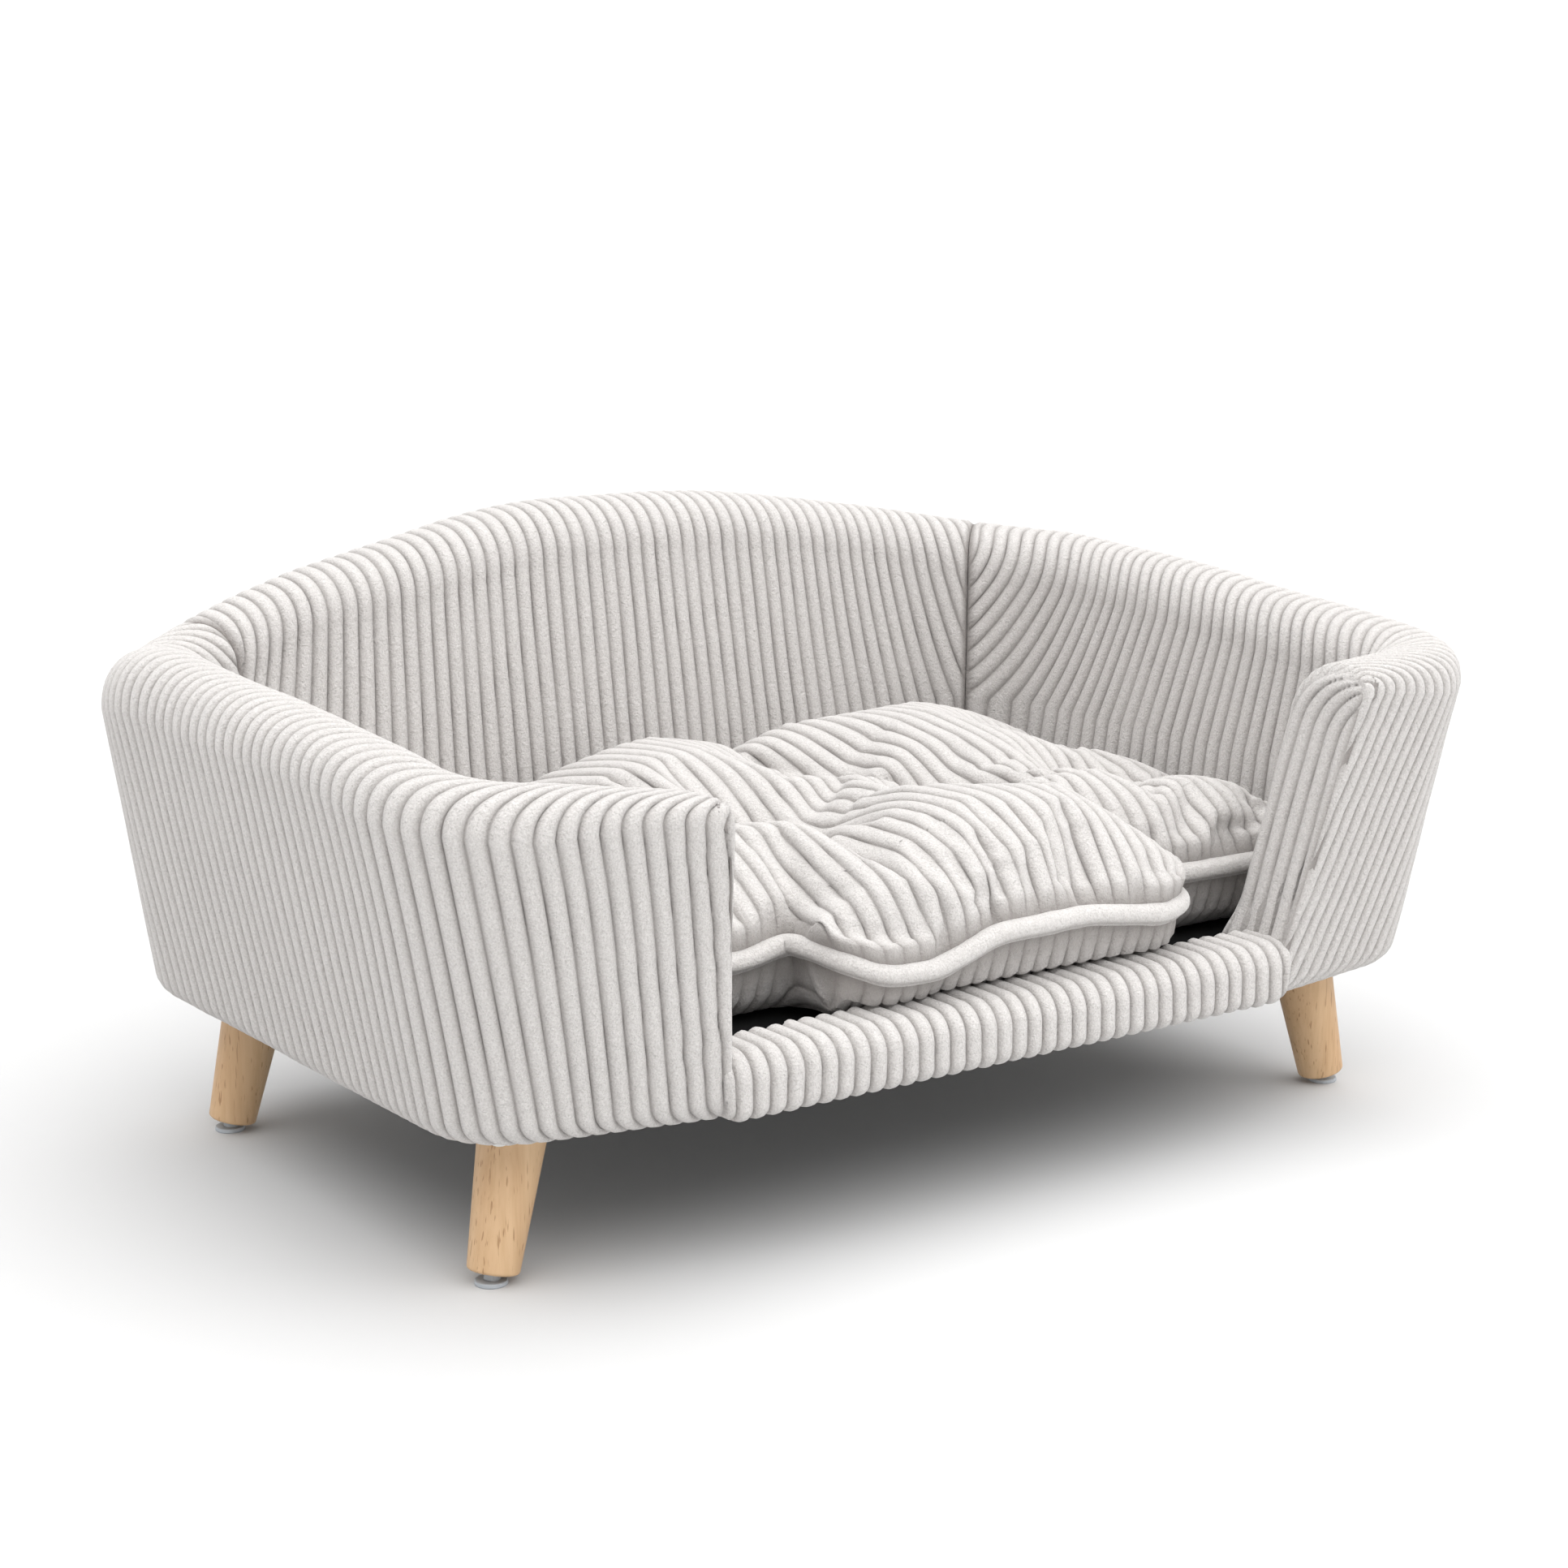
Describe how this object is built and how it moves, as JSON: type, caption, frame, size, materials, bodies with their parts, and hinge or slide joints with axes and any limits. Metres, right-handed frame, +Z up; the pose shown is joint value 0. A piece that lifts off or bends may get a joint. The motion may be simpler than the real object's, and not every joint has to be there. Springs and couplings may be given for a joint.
{
  "type": "pet sofa bed with frame",
  "caption": "Low upholstered pet sofa with flared arms and arched back in wide-rib corduroy, open padded front, loose tufted cushion and splayed wooden legs.",
  "frame": {"origin": "on the floor, at the middle of the overall width and depth", "axes": "+X to the right seen from the open front, along the width; +Y from the open front to the back; +Z up"},
  "size_m": [0.767, 0.531, 0.357],
  "materials": {
    "corduroy": "wide-wale plush corduroy, matt with soft pile",
    "rubberwood": "clear matt lacquer",
    "plywood": "raw",
    "pine": "raw",
    "padding": "foam and fibre wadding",
    "black_cloth": "non-woven, matt",
    "dust_cloth": "non-woven, matt",
    "glide_plastic": "matt",
    "thread": "twisted cord",
    "zinc_steel": "zinc plated"
  },
  "bodies": {
    "frame": {"base_board": "plywood", "side_panel_left": "plywood", "side_panel_right": "plywood", "back_panel": "plywood", "wing_panel_left": "plywood", "wing_panel_right": "plywood", "corner_panels": "plywood", "side_battens": "pine", "wing_battens": "pine", "back_batten": "pine", "base_screws": "zinc_steel", "panel_screws": "zinc_steel", "padding_back": "padding", "padding_arm_left": "padding", "padding_arm_right": "padding", "cover_back": "corduroy", "cover_arm_left": "corduroy", "cover_arm_right": "corduroy", "cover_wing_end_left": "corduroy", "cover_wing_end_right": "corduroy", "rail_core": "pine", "rail_padding": "padding", "rail_cover": "corduroy", "deck_cloth": "black_cloth", "dust_cover": "dust_cloth", "staples": "zinc_steel", "leg_front_left": "rubberwood", "leg_front_right": "rubberwood", "leg_rear_left": "rubberwood", "leg_rear_right": "rubberwood", "leg_plates": "zinc_steel", "hanger_bolts": "zinc_steel", "plate_screws": "zinc_steel", "glides": "glide_plastic"},
    "cushion": {"cushion_top": "corduroy", "cushion_bottom": "corduroy", "cushion_piping": "corduroy", "cushion_filling": "padding", "tuft_ties": "thread"}
  },
  "joints": [
    {"name": "cushion_lift", "type": "slide", "parent": "frame", "child": "cushion", "axis": [0, 0, 1], "range_m": [0, 0.28]}
  ]
}
